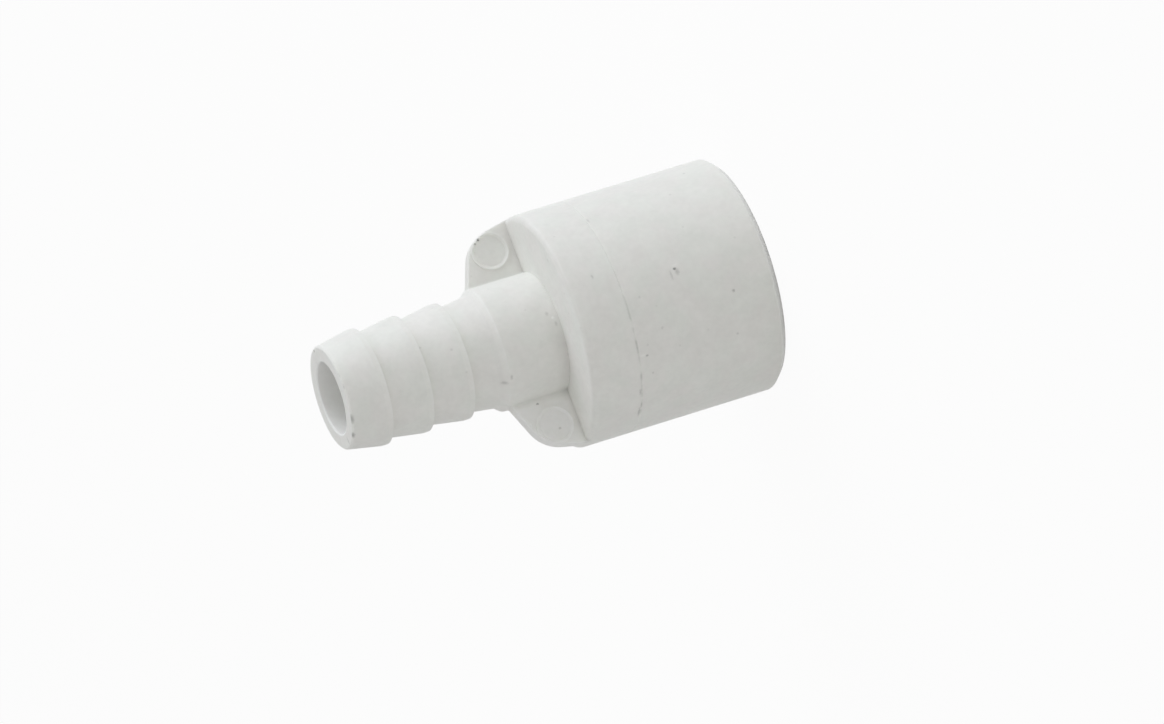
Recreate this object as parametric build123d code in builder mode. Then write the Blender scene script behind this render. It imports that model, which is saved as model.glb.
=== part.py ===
from build123d import *
import math
import os

# Straight reducing fitting, moulded in one piece. A plain pipe spigot is at the bottom and a hose barb at
# the top. All sizes are in millimetres. The origin is the centre of the spigot's open end, +Z runs along
# the passage towards the barb's tip, and the two wings lie along X.

# Pipe spigot
spigot_diameter = 21.34
spigot_length = 18.8
spigot_rim_chamfer = 0.55
spigot_wall = 2.87
spigot_bore_mouth_chamfer = 0.5
shoulder_web = 3.8
funnel_angle = 30.0

# Line left on the spigot where the two halves of the mould meet
witness_from_shoulder = 4.65
witness_width = 0.12
witness_depth = 0.04

# Shoulder between the spigot and the collar
shoulder_edge_round = 0.5

# Collar behind the barb
collar_diameter = 11.2
collar_length = 5.65
collar_edge_round = 0.2
neck_end_diameter = 10.2
neck_slope_length = 0.62
neck_round = 0.8

# Hose barb
barb_length = 14.75
barb_crests = 3
crest_diameter = 10.62
crest_land = 0.5
crest_from_tip = 3.65
crest_pitch = 3.91
root_diameter = 9.54
tip_diameter = 9.48
tip_edge_chamfer = 0.15
barb_bore_diameter = 6.6
barb_bore_edge_chamfer = 0.12

# Two flat wings between the collar and the shoulder, on the mould's parting plane
wing_thickness = 1.3
wing_foot_setback = 0.27
wing_corner_inset = 0.86
wing_corner_height = 3.7
wing_corner_round = 3.3
wing_end_inset = 0.06
wing_edge_round = 0.12
wing_root_round = 0.25

# Ejector pin marks, on one side of each wing: a dished disc inside a raised lip, cut off at the wing's rim
pin_mark_diameter = 3.5
pin_mark_lip_width = 0.12
pin_mark_lip_height = 0.12
pin_mark_depth = 0.05
pin_mark_dish_angle = 55.0
pin_mark_inset = 2.34
pin_mark_height = 2.2

# Radii and heights that follow from the sizes above
spigot_radius = spigot_diameter / 2
spigot_bore_radius = spigot_radius - spigot_wall
collar_radius = collar_diameter / 2
neck_end_radius = neck_end_diameter / 2
crest_radius = crest_diameter / 2
root_radius = root_diameter / 2
tip_radius = tip_diameter / 2
barb_bore_radius = barb_bore_diameter / 2
half_wing = wing_thickness / 2

shoulder_z = spigot_length
witness_z = shoulder_z - witness_from_shoulder
collar_front_z = shoulder_z + collar_length
tip_z = collar_front_z + barb_length
crest_heights = [tip_z - crest_from_tip - crest_pitch * n for n in reversed(range(barb_crests))]
funnel_rise = (spigot_bore_radius - barb_bore_radius) * math.tan(math.radians(funnel_angle))
funnel_bottom_z = shoulder_z - shoulder_web
funnel_top_z = funnel_bottom_z + funnel_rise
wing_foot_z = collar_front_z - wing_foot_setback
wing_inner_x = (collar_radius + barb_bore_radius) / 2
wing_outer_x = spigot_radius - wing_end_inset
wing_corner_x = spigot_radius - wing_corner_inset
wing_buried_z = shoulder_z - shoulder_edge_round
wing_corner_z = shoulder_z + wing_corner_height
# The wing's straight front edge runs on at the same slope inside the collar's wall
wing_front_slope = (wing_foot_z - wing_corner_z) / (wing_corner_x - collar_radius)
wing_inner_z = wing_foot_z + wing_front_slope * (collar_radius - wing_inner_x)


def outside_corners():
    """Corners of the fitting's outside as (radius, height, corner round), from the open end to the tip."""
    corners = [
        (spigot_radius - spigot_rim_chamfer, 0, 0),
        (spigot_radius, spigot_rim_chamfer, 0),
        (spigot_radius, witness_z - witness_width / 2, 0),
        (spigot_radius - witness_depth, witness_z, 0),
        (spigot_radius, witness_z + witness_width / 2, 0),
        (spigot_radius, shoulder_z, shoulder_edge_round),
        (collar_radius, shoulder_z, 0),
        (collar_radius, collar_front_z, collar_edge_round),
        (neck_end_radius, collar_front_z + neck_slope_length, neck_round),
    ]
    # Each tooth is a step out to the crest, a short land, and a slope in to the root of the next tooth
    slope_ends = [(root_radius, height, 0) for height in crest_heights[1:]]
    slope_ends.append((tip_radius, tip_z - tip_edge_chamfer, 0))
    corners.append((root_radius, crest_heights[0], 0))
    for height, slope_end in zip(crest_heights, slope_ends):
        corners.append((crest_radius, height, 0))
        corners.append((crest_radius, height + crest_land, 0))
        corners.append(slope_end)
    corners.append((tip_radius - tip_edge_chamfer, tip_z, 0))
    return corners


def passage_corners():
    """Corners of the passage as (radius, height, corner round), from the barb's tip to the open end."""
    return [
        (barb_bore_radius + barb_bore_edge_chamfer, tip_z, 0),
        (barb_bore_radius, tip_z - barb_bore_edge_chamfer, 0),
        (barb_bore_radius, funnel_top_z, 0),
        (spigot_bore_radius, funnel_bottom_z, 0),
        (spigot_bore_radius, spigot_bore_mouth_chamfer, 0),
        (spigot_bore_radius + spigot_bore_mouth_chamfer, 0, 0),
    ]


with BuildSketch() as wing_outlines:
    # One wing seen from the front, and its mirror image
    with BuildLine():
        FilletPolyline(
            (wing_inner_x, wing_buried_z),
            (wing_outer_x, wing_buried_z),
            (wing_outer_x, shoulder_z),
            (wing_corner_x, wing_corner_z),
            (wing_inner_x, wing_inner_z),
            radius=[0, 0, 0, wing_corner_round, 0],
            close=True,
        )
    make_face()
    mirror(about=Plane.YZ)

with BuildSketch() as wing_flats:
    # The flat middle of both wings, inside their eased rims
    add(wing_outlines.sketch_local)
    offset(amount=-wing_edge_round)

with BuildPart() as wings:
    # Two flat plates on the parting plane, with their rims eased
    with BuildSketch(Plane.XZ):
        add(wing_outlines.sketch_local)
    extrude(amount=half_wing, both=True)
    rims = faces().filter_by(Axis.Y).edges().filter_by(lambda edge: edge.center().Z > shoulder_z)
    fillet(rims.filter_by(Axis.Z, reverse=True), wing_edge_round)

with BuildPart() as fitting_body:
    # Wall of revolution: the outside up to the tip, and the stepped passage back down to the open end
    wall = outside_corners() + passage_corners()
    with BuildSketch(Plane.XZ):
        with BuildLine():
            FilletPolyline(
                *[(radius, height) for radius, height, _ in wall],
                radius=[corner_round for _, _, corner_round in wall],
                close=True,
            )
        make_face()
    revolve(axis=Axis.Z)

    add(wings.part)

    # Soft corners where the wings' sides meet the collar
    wing_side_edges = faces().filter_by(Axis.Y).edges().filter_by(Axis.Z)
    fillet(wing_side_edges.filter_by(lambda edge: edge.center().Z > shoulder_z), wing_root_round)

    # Ejector pin marks, on the side that faces -Y
    pin_mark_x = spigot_radius - pin_mark_inset
    pin_mark_centres = [(side * pin_mark_x, shoulder_z + pin_mark_height) for side in (-1, 1)]
    with BuildSketch(Plane.XZ.offset(half_wing)):
        with Locations(*pin_mark_centres):
            Circle(pin_mark_diameter / 2)
        add(wing_flats.sketch_local, mode=Mode.INTERSECT)
    extrude(amount=pin_mark_lip_height)
    with BuildSketch(Plane.XZ.offset(half_wing + pin_mark_lip_height)):
        with Locations(*pin_mark_centres):
            Circle(pin_mark_diameter / 2 - pin_mark_lip_width)
    dish_depth = pin_mark_lip_height + pin_mark_depth
    extrude(amount=-dish_depth, taper=pin_mark_dish_angle, mode=Mode.SUBTRACT)

fitting_body.part.label = "fitting_body"
os.makedirs("parts", exist_ok=True)
export_step(fitting_body.part, "parts/fitting_body.step")
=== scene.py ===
import math

import bmesh
import bpy
from mathutils import Matrix, Vector


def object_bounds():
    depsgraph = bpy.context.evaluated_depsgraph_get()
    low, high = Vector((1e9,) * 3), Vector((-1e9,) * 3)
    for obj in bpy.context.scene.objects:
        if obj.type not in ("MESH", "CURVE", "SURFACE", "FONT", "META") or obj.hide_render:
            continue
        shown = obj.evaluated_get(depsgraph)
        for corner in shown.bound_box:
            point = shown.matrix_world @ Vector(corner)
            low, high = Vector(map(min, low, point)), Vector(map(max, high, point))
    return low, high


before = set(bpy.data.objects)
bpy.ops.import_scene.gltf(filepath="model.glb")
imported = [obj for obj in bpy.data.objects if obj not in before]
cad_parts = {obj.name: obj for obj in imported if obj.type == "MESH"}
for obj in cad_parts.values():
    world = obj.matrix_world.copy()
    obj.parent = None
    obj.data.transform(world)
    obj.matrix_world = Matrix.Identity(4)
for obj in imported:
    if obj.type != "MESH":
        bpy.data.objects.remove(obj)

cad_low, cad_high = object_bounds()

# One white moulded fitting stands on its open end on a white sheet. The photograph is turned on its side:
# its left is the barb's tip, and its top is the fitting's +X side.

MM = 0.001

# View, as worked out from the photograph. The aim point on the fitting's axis falls on the aim pixel
PHOTO_WIDTH_PX = 1164
PHOTO_HEIGHT_PX = 724
SENSOR_WIDTH_MM = 36
FOCAL_LENGTH_PX = 10000
PX_PER_MM = 11.342
AIM_PIXEL = (541.57, 333.50)
AIM_HEIGHT_MM = 19.0
TIP_TOWARDS_CAMERA_DEG = 17.35
AXIS_SLOPE_IN_PHOTO_DEG = 17.1
TURN_ABOUT_AXIS_DEG = 11.75

# Softboxes: direction from the fitting, irradiance where 1 shows a colour as it is written, and the share of
# the light that also shows as gloss
SOFTBOXES = {
    "side_softbox": ((0.979, -0.204, 0.10), 0.465, 1.0),
    "high_softbox": ((0.65, 0.0, 0.75), 0.10, 0.2),
}
SOFTBOX_DISTANCE_MM = 420
SOFTBOX_WIDTH_MM = 320
ROOM_LIGHT = 0.58

# The softboxes are a little cooler than the room's light
COOL_DAYLIGHT = (0.965, 1.0, 1.07)

# The white sheet, and how much of it shows as plain white where it is seen directly
SHEET_HALF_WIDTH_M = 4.0
CARD_WHITE = "f4f4f2"
CARD_GLOW_SHARE = 0.93

# Places on the solid, in mm, that the finish follows
SPIGOT_RADIUS_MM = cad_high[0] / MM
TIP_HEIGHT_MM = cad_high[2] / MM
SHOULDER_HEIGHT_MM = 18.8
COLLAR_RADIUS_MM = 5.6
TIP_EDGE_RADIUS_MM = 4.7
MOULD_LINE_HEIGHT_MM = 14.15
WING_FACE_MM = 0.65

# Colours of the plastic, between which it drifts
GREENISH_WHITE = "f1f2ed"
WARM_WHITE = "f2f1ed"

# Noise patterns in the plastic: size in mm, detail and roughness. The grain of the mould is finer than a
# pixel, so it is drawn as coarse as it needs to show
PATTERNS = {
    "clouds": (1.9, 3.0, 0.6),
    "grain": (0.45, 1.0, 0.5),
    "tint": (2.6, 2.0, 0.5),
    "waviness": (0.9, 2.0, 0.5),
}
WAVINESS_DEPTH_MM = 0.008

# Clouds and grain shade the plastic from the first number to the second over the middle range of their
# noise, and a shade of 1 leaves the colour as it is
PATTERN_RANGE = (0.2, 0.8)
CLOUD_SHADES = (0.976, 1.024)
GRAIN_SHADES = (0.984, 1.016)

# Over such a range of their noise, the tint goes from greenish to warm, and the clouds from satin to duller
TINT_RANGE = (0.35, 0.65)
SATIN_RANGE = (0.3, 0.7)
SATIN_ROUGHNESS = (0.46, 0.56)

# Rigid PVC: refraction, a gloss level below the usual 0.5 for a skin that is slightly dull, and scattering
PVC_IOR = 1.53
GLOSS_LEVEL = 0.35
SCATTER_SHARE = 0.7
SCATTER_DEPTH_MM = 0.35

# Small dark specks in the plastic: spacing, shade, and where the edge of each begins and ends, in spacings
SPECK_SPACING_MM = 2.1
SPECK_EDGE = (0.02, 0.08)
SPECK_SHADE = 0.91

# Shades that stand in for light which the lamps do not give there, tuned to the photograph. The bore is
# inside the first radius, and the open end, of which the photograph shows only the edge, below the first
# height
BORE_EDGE_MM = (3.4, 3.5)
BORE_SHADE = 1.10
OPEN_END_EDGE_MM = (0.5, 0.62)
OPEN_END_SHADE = 1.13

# The wings have such shades too: the stretch of X over which each one goes from full to none, and its shade.
# Above the shoulder it sets in over the fade's height
WING_SHADES = [
    ((-6.4, -5.6), 1.06),
    ((6.4, 5.6), 0.97),
]
WING_FADE_MM = 0.3

# Blemishes: turn in degrees, height and radius of the middle, half sizes around, along and across the wall
# in mm, and the share of the colour that is lost, or gained where it is below zero
BLEMISHES = [
    # The speck on the spigot, with its pale halo, smudge and streak
    (91, 8.9, SPIGOT_RADIUS_MM, 0.15, 0.16, 0.5, 0.62),
    (89.2, 8.8, SPIGOT_RADIUS_MM, 0.14, 0.36, 0.5, -0.07),
    (92.6, 8.75, SPIGOT_RADIUS_MM, 0.40, 0.22, 0.5, 0.22),
    (93.6, 9.35, SPIGOT_RADIUS_MM, 0.55, 0.12, 0.5, 0.16),
    # Dots and short marks on the spigot
    (51, 14.0, SPIGOT_RADIUS_MM, 0.35, 0.12, 0.5, 0.18),
    (35, 3.4, SPIGOT_RADIUS_MM, 0.16, 0.16, 0.5, 0.18),
    (109, 4.3, SPIGOT_RADIUS_MM, 0.18, 0.18, 0.5, 0.32),
    (130, 4.7, SPIGOT_RADIUS_MM, 0.16, 0.16, 0.5, 0.18),
    (83, 16.2, SPIGOT_RADIUS_MM, 0.26, 0.12, 0.5, 0.22),
    (99, 12.8, SPIGOT_RADIUS_MM, 0.15, 0.14, 0.5, 0.14),
    (116, 11.5, SPIGOT_RADIUS_MM, 0.15, 0.15, 0.5, 0.16),
    (127, 13.35, SPIGOT_RADIUS_MM, 0.13, 0.18, 0.5, 0.36),
    (126.5, 13.75, SPIGOT_RADIUS_MM, 0.16, 0.34, 0.5, -0.06),
    (137, 13.0, SPIGOT_RADIUS_MM, 0.14, 0.14, 0.5, 0.18),
    (146, 14.3, SPIGOT_RADIUS_MM, 0.40, 0.13, 0.5, 0.22),
    (160, 14.3, SPIGOT_RADIUS_MM, 0.80, 0.14, 0.5, 0.29),
    # Shoulder, collar and neck
    (63, SHOULDER_HEIGHT_MM, 9.5, 0.20, 0.3, 0.2, 0.11),
    (86, 19.7, COLLAR_RADIUS_MM, 0.25, 0.20, 0.5, 0.16),
    (91, 19.3, COLLAR_RADIUS_MM, 0.16, 0.16, 0.5, -0.14),
    (97, 19.2, COLLAR_RADIUS_MM, 0.30, 0.16, 0.5, 0.16),
    (139, 24.9, 5.3, 0.22, 0.40, 0.6, 0.22),
    (133, 24.3, 5.5, 0.30, 0.16, 0.6, 0.22),
    # Barb
    (78, 31.4, 5.0, 0.14, 0.14, 0.5, 0.18),
    (91, 28.9, 5.0, 0.16, 0.16, 0.5, 0.18),
    (116, 28.2, 5.0, 0.16, 0.16, 0.5, 0.18),
    # Nicks and marks on the wings
    (3.9, 21.68, 9.62, 0.35, 0.15, 0.15, 0.76),
    (4.0, 22.1, 9.35, 0.35, 0.17, 0.12, 0.45),
    (176, 20.7, 8.75, 0.30, 0.14, 0.14, 0.25),
    (174, 21.85, 6.1, 0.30, 0.12, 0.12, 0.47),
    (175, 23.1, 7.8, 0.30, 0.10, 0.26, -0.10),
    # Tip
    (80, TIP_HEIGHT_MM, TIP_EDGE_RADIUS_MM, 0.45, 0.14, 0.12, 0.22),
    (94, TIP_HEIGHT_MM, TIP_EDGE_RADIUS_MM, 0.35, 0.14, 0.12, 0.29),
    (131, TIP_HEIGHT_MM, TIP_EDGE_RADIUS_MM, 0.60, 0.30, 0.20, 0.40),
    (153, TIP_HEIGHT_MM, TIP_EDGE_RADIUS_MM, 0.45, 0.30, 0.20, 0.48),
    (2, TIP_HEIGHT_MM, 4.45, 0.20, 0.20, 0.16, 0.43),
    (175, TIP_HEIGHT_MM, 4.2, 0.12, 0.20, 0.50, 0.29),
]

# Blemishes are full inside the first number of half sizes and gone past the second. Their edges stray by up
# to half of these amounts of turn in degrees, height and radius in mm, with a noise of the given size
BLEMISH_EDGE = (0.15, 1.2)
RAGGEDNESS = Vector((0.8, 0.35, 0.0))
RAGGED_SIZE = 0.2

# The mould line is dark and broken: half width and shade, the turns where it sets in and where it ends, and
# the clouds that break it up, with the darkest shade that they allow
MOULD_LINE_WIDTH_MM = 0.17
MOULD_LINE_SHADE = 0.74
MOULD_LINE_SETS_IN_DEG = (78, 130)
MOULD_LINE_ENDS_DEG = (160, 168)
MOULD_LINE_BREAKS = (0.35, 0.62)
MOULD_LINE_BROKEN_SHADE = 0.72

# Rings of painted shade, tuned to the photograph: height, radius and half width in mm, the share of the
# colour that is lost, and the turns between which it sets in. One is at the collar's foot and one on the
# shoulder's edge
PAINTED_SHADE_RINGS = [
    (SHOULDER_HEIGHT_MM + 0.3, COLLAR_RADIUS_MM, 1.1, 0.08, (85, 120)),
    (SHOULDER_HEIGHT_MM - 0.15, SPIGOT_RADIUS_MM - 0.15, 0.45, 0.055, (-20, 20)),
]

# Painted shade along the corners where the wings meet the shoulder and the collar, tuned likewise: the
# middle, the half sizes, with None along the line, and the share of the colour that is lost
PAINTED_SHADE_WING_ROOTS = [
    ((0, WING_FACE_MM, SHOULDER_HEIGHT_MM), (None, 0.7, 0.7), 0.07),
    ((COLLAR_RADIUS_MM + 0.1, WING_FACE_MM, 0), (0.6, 0.6, None), 0.04),
]


def linear(hex_colour):
    """An sRGB hex colour, such as 'e8e8e6', as linear red, green, blue and alpha."""
    channels = [int(hex_colour[i:i + 2], 16) / 255 for i in (0, 2, 4)]
    return tuple(c / 12.92 if c <= 0.04045 else ((c + 0.055) / 1.055) ** 2.4 for c in channels) + (1.0,)


def add_node(material, kind, inputs=None, **settings):
    """Adds a node of that kind. Inputs are given by name or number, as a value or as an output to link."""
    node = material.node_tree.nodes.new(kind)
    for name, value in settings.items():
        setattr(node, name, value)
    for socket, value in (inputs or {}).items():
        if isinstance(value, bpy.types.NodeSocket):
            material.node_tree.links.new(value, node.inputs[socket])
        else:
            node.inputs[socket].default_value = value
    return node


def new_material(name):
    material = bpy.data.materials.new(name)
    material.use_nodes = True
    material.node_tree.nodes.clear()
    return material


def view_axes():
    """The photograph's right, up and towards-the-camera directions, in the fitting's own frame."""
    tilt = math.radians(TIP_TOWARDS_CAMERA_DEG)
    slope = math.radians(AXIS_SLOPE_IN_PHOTO_DEG)
    turn = math.radians(TURN_ABOUT_AXIS_DEG)
    across = Vector((-math.sin(slope), math.cos(slope), 0))
    facing = Vector((math.sin(tilt) * math.cos(slope), math.sin(tilt) * math.sin(slope), math.cos(tilt)))
    x_axis = across * math.cos(turn) - facing * math.sin(turn)
    y_axis = -(across * math.sin(turn) + facing * math.cos(turn))
    z_axis = Vector((-math.cos(tilt) * math.cos(slope), -math.cos(tilt) * math.sin(slope), math.sin(tilt)))
    return [Vector((x_axis[i], y_axis[i], z_axis[i])) for i in range(3)]


def add_camera():
    right, up, towards = view_axes()
    distance = FOCAL_LENGTH_PX / PX_PER_MM * MM
    # The aim point lies a little off the picture's centre, so the camera looks past it by that much
    off_right = (PHOTO_WIDTH_PX / 2 - AIM_PIXEL[0]) / FOCAL_LENGTH_PX
    off_down = (PHOTO_HEIGHT_PX / 2 - AIM_PIXEL[1]) / FOCAL_LENGTH_PX
    back = (towards - right * off_right + up * off_down).normalized()
    side = (right - back * right.dot(back)).normalized()
    top = back.cross(side)
    camera_data = bpy.data.cameras.new("camera")
    camera_data.sensor_width = SENSOR_WIDTH_MM
    camera_data.lens = FOCAL_LENGTH_PX / PHOTO_WIDTH_PX * SENSOR_WIDTH_MM
    camera = bpy.data.objects.new("camera", camera_data)
    place = Vector((0, 0, AIM_HEIGHT_MM * MM)) + towards * distance
    camera.matrix_world = Matrix((
        (side.x, top.x, back.x, place.x),
        (side.y, top.y, back.y, place.y),
        (side.z, top.z, back.z, place.z),
        (0, 0, 0, 1),
    ))
    bpy.context.scene.collection.objects.link(camera)
    bpy.context.scene.camera = camera


def add_softbox(name, direction, irradiance, gloss):
    """A square softbox that shines at the fitting's middle from the given direction."""
    distance = SOFTBOX_DISTANCE_MM * MM
    light_data = bpy.data.lights.new(name, "AREA")
    light_data.shape = "SQUARE"
    light_data.size = SOFTBOX_WIDTH_MM * MM
    # A lamp of P watts has P / (pi * area) of radiance, and a surface sees area / distance^2 of it
    light_data.energy = irradiance * math.pi ** 2 * distance ** 2
    light_data.specular_factor = gloss
    light_data.color = COOL_DAYLIGHT
    light = bpy.data.objects.new(name, light_data)
    centre = Vector((0, 0, AIM_HEIGHT_MM * MM))
    offset = Vector(direction).normalized() * distance
    facing = offset.to_track_quat("Z", "Y").to_matrix().to_4x4()
    light.matrix_world = Matrix.Translation(centre + offset) @ facing
    bpy.context.scene.collection.objects.link(light)


def add_lights():
    for name, (direction, irradiance, gloss) in SOFTBOXES.items():
        add_softbox(name, direction, irradiance, gloss)
    world = bpy.data.worlds.new("studio")
    bpy.context.scene.world = world
    world.use_nodes = True
    background = world.node_tree.nodes["Background"]
    background.inputs["Color"].default_value = (1, 1, 1, 1)
    background.inputs["Strength"].default_value = ROOM_LIGHT


def white_sheet():
    """Matt white card. Seen directly it is nearly plain white, and keeps a faint shadow of the fitting."""
    material = new_material("matt_white_card")
    card = add_node(material, "ShaderNodeBsdfDiffuse", {"Color": linear(CARD_WHITE)})
    glow = add_node(material, "ShaderNodeEmission", {"Color": (1, 1, 1, 1), "Strength": 1.0})
    light_path = add_node(material, "ShaderNodeLightPath")
    seen = 0.0
    for ray in ("Is Camera Ray", "Is Glossy Ray", "Is Transmission Ray"):
        seen = add_node(material, "ShaderNodeMath", {
            0: seen, 1: light_path.outputs[ray]}, operation="MAXIMUM").outputs[0]
    share = add_node(material, "ShaderNodeMath", {0: seen, 1: CARD_GLOW_SHARE}, operation="MULTIPLY")
    mixed = add_node(material, "ShaderNodeMixShader", {
        0: share.outputs[0], 1: card.outputs[0], 2: glow.outputs[0]})
    add_node(material, "ShaderNodeOutputMaterial", {"Surface": mixed.outputs[0]})
    return material


def add_floor():
    sheet = bmesh.new()
    bmesh.ops.create_grid(sheet, x_segments=1, y_segments=1, size=SHEET_HALF_WIDTH_M)
    mesh = bpy.data.meshes.new("floor")
    sheet.to_mesh(mesh)
    sheet.free()
    floor = bpy.data.objects.new("floor", mesh)
    floor.data.materials.append(white_sheet())
    bpy.context.scene.collection.objects.link(floor)


def surface_places(material):
    """The place on the fitting in mm, and the same place unrolled as turn in degrees, height and radius.

    The turn is about the axis, from +X towards -Y, which is the side that the photograph shows.
    """
    coordinates = add_node(material, "ShaderNodeTexCoord")
    place = add_node(material, "ShaderNodeVectorMath", {
        0: coordinates.outputs["Object"], "Scale": 1 / MM}, operation="SCALE").outputs[0]
    parts = add_node(material, "ShaderNodeSeparateXYZ", {0: place})
    front = add_node(material, "ShaderNodeMath", {0: parts.outputs["Y"], 1: -1.0}, operation="MULTIPLY")
    turn = add_node(material, "ShaderNodeMath", {
        0: front.outputs[0], 1: parts.outputs["X"]}, operation="ARCTAN2")
    degrees = add_node(material, "ShaderNodeMath", {0: turn.outputs[0]}, operation="DEGREES")
    level = add_node(material, "ShaderNodeVectorMath", {0: place, 1: (1, 1, 0)}, operation="MULTIPLY")
    radius = add_node(material, "ShaderNodeVectorMath", {0: level.outputs[0]}, operation="LENGTH")
    unrolled = add_node(material, "ShaderNodeCombineXYZ", {
        0: degrees.outputs[0], 1: parts.outputs["Z"], 2: radius.outputs["Value"]}).outputs[0]
    return place, unrolled


def distance_from(material, vector, middle, half_sizes):
    """How far a point lies from a middle, counted in half sizes. A half size of None leaves that way out."""
    scales = [0 if half is None else 1 / half for half in half_sizes]
    shifts = [-m * s for m, s in zip(middle, scales)]
    offset = add_node(material, "ShaderNodeVectorMath", {
        0: vector, 1: scales, 2: shifts}, operation="MULTIPLY_ADD")
    length = add_node(material, "ShaderNodeVectorMath", {0: offset.outputs[0]}, operation="LENGTH")
    return length.outputs["Value"]


def combined(material, so_far, operation, value, edge, ends):
    """What there is so far, combined with a number that changes smoothly while the value crosses the edge."""
    change = add_node(material, "ShaderNodeMapRange", {
        "Value": value, "From Min": edge[0], "From Max": edge[1],
        "To Min": ends[0], "To Max": ends[1]}, interpolation_type="SMOOTHSTEP")
    return add_node(material, "ShaderNodeMath", {
        0: so_far, 1: change.outputs["Result"]}, operation=operation).outputs[0]


def with_blemishes(material, shade, unrolled):
    """The shade with dark specks and pale scratches on it."""
    noise = add_node(material, "ShaderNodeTexNoise", {
        "Vector": unrolled, "Scale": 1 / RAGGED_SIZE, "Detail": 1.0})
    shifted = add_node(material, "ShaderNodeVectorMath", {
        0: unrolled, 1: RAGGEDNESS / 2}, operation="SUBTRACT")
    ragged = add_node(material, "ShaderNodeVectorMath", {
        0: noise.outputs["Color"], 1: RAGGEDNESS, 2: shifted.outputs[0]}, operation="MULTIPLY_ADD")
    for turn, height, radius, around, along, across, darkness in BLEMISHES:
        half_sizes = (math.degrees(around / radius), along, across)
        reach = distance_from(material, ragged.outputs[0], (turn, height, radius), half_sizes)
        shade = combined(material, shade, "MULTIPLY", reach, BLEMISH_EDGE, (1 - darkness, 1.0))
    return shade


def with_mould_line(material, shade, unrolled, turn, clouds):
    """The shade with the dark mould line, which comes and goes."""
    covers = [
        (turn, MOULD_LINE_SETS_IN_DEG, (1.0, MOULD_LINE_SHADE)),
        (clouds, MOULD_LINE_BREAKS, (MOULD_LINE_BROKEN_SHADE, 1.0)),
        (turn, MOULD_LINE_ENDS_DEG, (0.0, 1.0)),
    ]
    darkest = 0.0
    for value, edge, ends in covers:
        darkest = combined(material, darkest, "MAXIMUM", value, edge, ends)
    middle = (0, MOULD_LINE_HEIGHT_MM, SPIGOT_RADIUS_MM)
    reach = distance_from(material, unrolled, middle, (None, MOULD_LINE_WIDTH_MM, MOULD_LINE_WIDTH_MM))
    return combined(material, shade, "MULTIPLY", reach, (0.0, 1.0), (darkest, 1.0))


def with_painted_corner_shade(material, shade, place, unrolled, turn):
    """The shade with painted shade in the corners and on the shoulder's edge, as seen in the photograph."""
    for height, radius, width, darkness, sets_in in PAINTED_SHADE_RINGS:
        darkest = combined(material, 1.0, "MULTIPLY", turn, sets_in, (1.0, 1 - darkness))
        reach = distance_from(material, unrolled, (0, height, radius), (None, width, width))
        shade = combined(material, shade, "MULTIPLY", reach, (0.0, 1.0), (darkest, 1.0))
    # Painted shade where the wings meet the shoulder and the collar. Both wings and both of their faces are
    # alike here, so one corner stands for all four
    mirrored = add_node(material, "ShaderNodeVectorMath", {0: place}, operation="ABSOLUTE").outputs[0]
    for middle, half_sizes, darkness in PAINTED_SHADE_WING_ROOTS:
        reach = distance_from(material, mirrored, middle, half_sizes)
        shade = combined(material, shade, "MULTIPLY", reach, (0.0, 1.0), (1 - darkness, 1.0))
    return shade


def with_light_made_up(material, shade, place, height, radius):
    """The shade with the bore, the open end and the wing at -X paler, and the wing at +X duller.

    This makes up for light that the lamps do not give there. It is no property of the plastic.
    """
    shade = combined(material, shade, "MULTIPLY", radius, BORE_EDGE_MM, (BORE_SHADE, 1.0))
    shade = combined(material, shade, "MULTIPLY", height, OPEN_END_EDGE_MM, (OPEN_END_SHADE, 1.0))
    along_x = add_node(material, "ShaderNodeSeparateXYZ", {0: place}).outputs["X"]
    above_shoulder = (SHOULDER_HEIGHT_MM, SHOULDER_HEIGHT_MM + WING_FADE_MM)
    for wing_edge, wing_shade in WING_SHADES:
        full = combined(material, 1.0, "MULTIPLY", height, above_shoulder, (1.0, wing_shade))
        shade = combined(material, shade, "MULTIPLY", along_x, wing_edge, (full, 1.0))
    return shade


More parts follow.
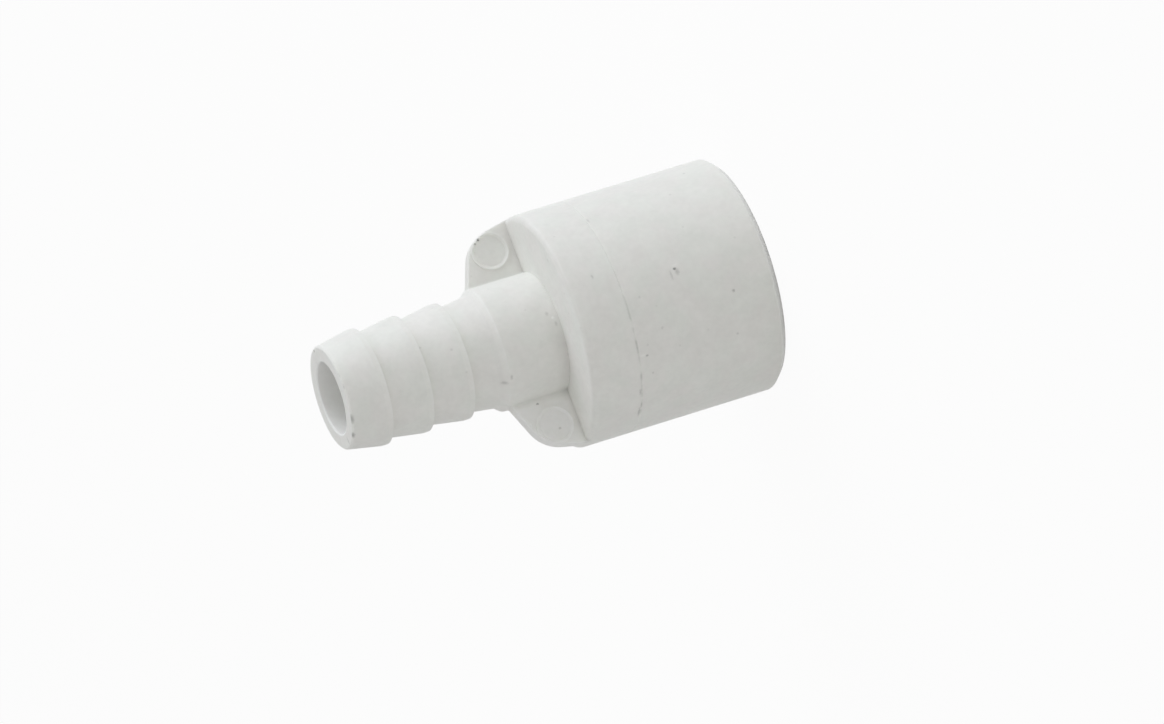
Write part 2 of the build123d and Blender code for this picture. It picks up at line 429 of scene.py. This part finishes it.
def moulded_pvc():
    """White rigid PVC, injection moulded: opaque, with the soft satin gloss of a fine-ground mould.

    Light scatters a little way in, which rounds off the look of small edges. Faint clouds, with a trace of
    warm and green, follow the mottling in the photograph, and a slight waviness breaks up the gloss.
    """
    material = new_material("moulded_white_pvc")
    place, unrolled = surface_places(material)
    turn, height, radius = add_node(material, "ShaderNodeSeparateXYZ", {0: unrolled}).outputs
    patterns = {}
    for name, (size_mm, detail, roughness) in PATTERNS.items():
        noise = add_node(material, "ShaderNodeTexNoise", {
            "Vector": place, "Scale": 1 / size_mm, "Detail": detail, "Roughness": roughness})
        patterns[name] = noise.outputs["Fac"]
    specks = add_node(material, "ShaderNodeTexVoronoi", {"Vector": place, "Scale": 1 / SPECK_SPACING_MM})

    shade = with_blemishes(material, 1.0, unrolled)
    shade = with_mould_line(material, shade, unrolled, turn, patterns["clouds"])
    # Painted shade in the corners and on the shoulder's edge
    shade = with_painted_corner_shade(material, shade, place, unrolled, turn)
    shade = with_light_made_up(material, shade, place, height, radius)
    skin = [
        (patterns["clouds"], PATTERN_RANGE, CLOUD_SHADES),
        (patterns["grain"], PATTERN_RANGE, GRAIN_SHADES),
        (specks.outputs["Distance"], SPECK_EDGE, (SPECK_SHADE, 1.0)),
    ]
    for value, edge, ends in skin:
        shade = combined(material, shade, "MULTIPLY", value, edge, ends)

    warmth = combined(material, 1.0, "MULTIPLY", patterns["tint"], TINT_RANGE, (0.0, 1.0))
    plain = add_node(material, "ShaderNodeMix", {
        0: warmth, 6: linear(GREENISH_WHITE), 7: linear(WARM_WHITE)}, data_type="RGBA")
    colour = add_node(material, "ShaderNodeVectorMath", {
        0: plain.outputs[2], "Scale": shade}, operation="SCALE")
    satin = combined(material, 1.0, "MULTIPLY", patterns["clouds"], SATIN_RANGE, SATIN_ROUGHNESS)
    relief = add_node(material, "ShaderNodeBump", {
        "Height": patterns["waviness"], "Strength": 1.0, "Distance": WAVINESS_DEPTH_MM * MM})

    surface = add_node(material, "ShaderNodeBsdfPrincipled", {
        "Base Color": colour.outputs[0], "Roughness": satin,
        "IOR": PVC_IOR, "Specular IOR Level": GLOSS_LEVEL,
        "Subsurface Weight": SCATTER_SHARE, "Subsurface Radius": (1.0, 1.0, 1.0),
        "Subsurface Scale": SCATTER_DEPTH_MM * MM, "Normal": relief.outputs[0]})
    add_node(material, "ShaderNodeOutputMaterial", {"Surface": surface.outputs[0]})
    return material


def finish_fitting_body():
    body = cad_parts["fitting_body"]
    body.material_slots[0].link = "OBJECT"
    body.material_slots[0].material = moulded_pvc()


bpy.context.scene.view_settings.view_transform = "Standard"
add_camera()
add_lights()
add_floor()
finish_fitting_body()
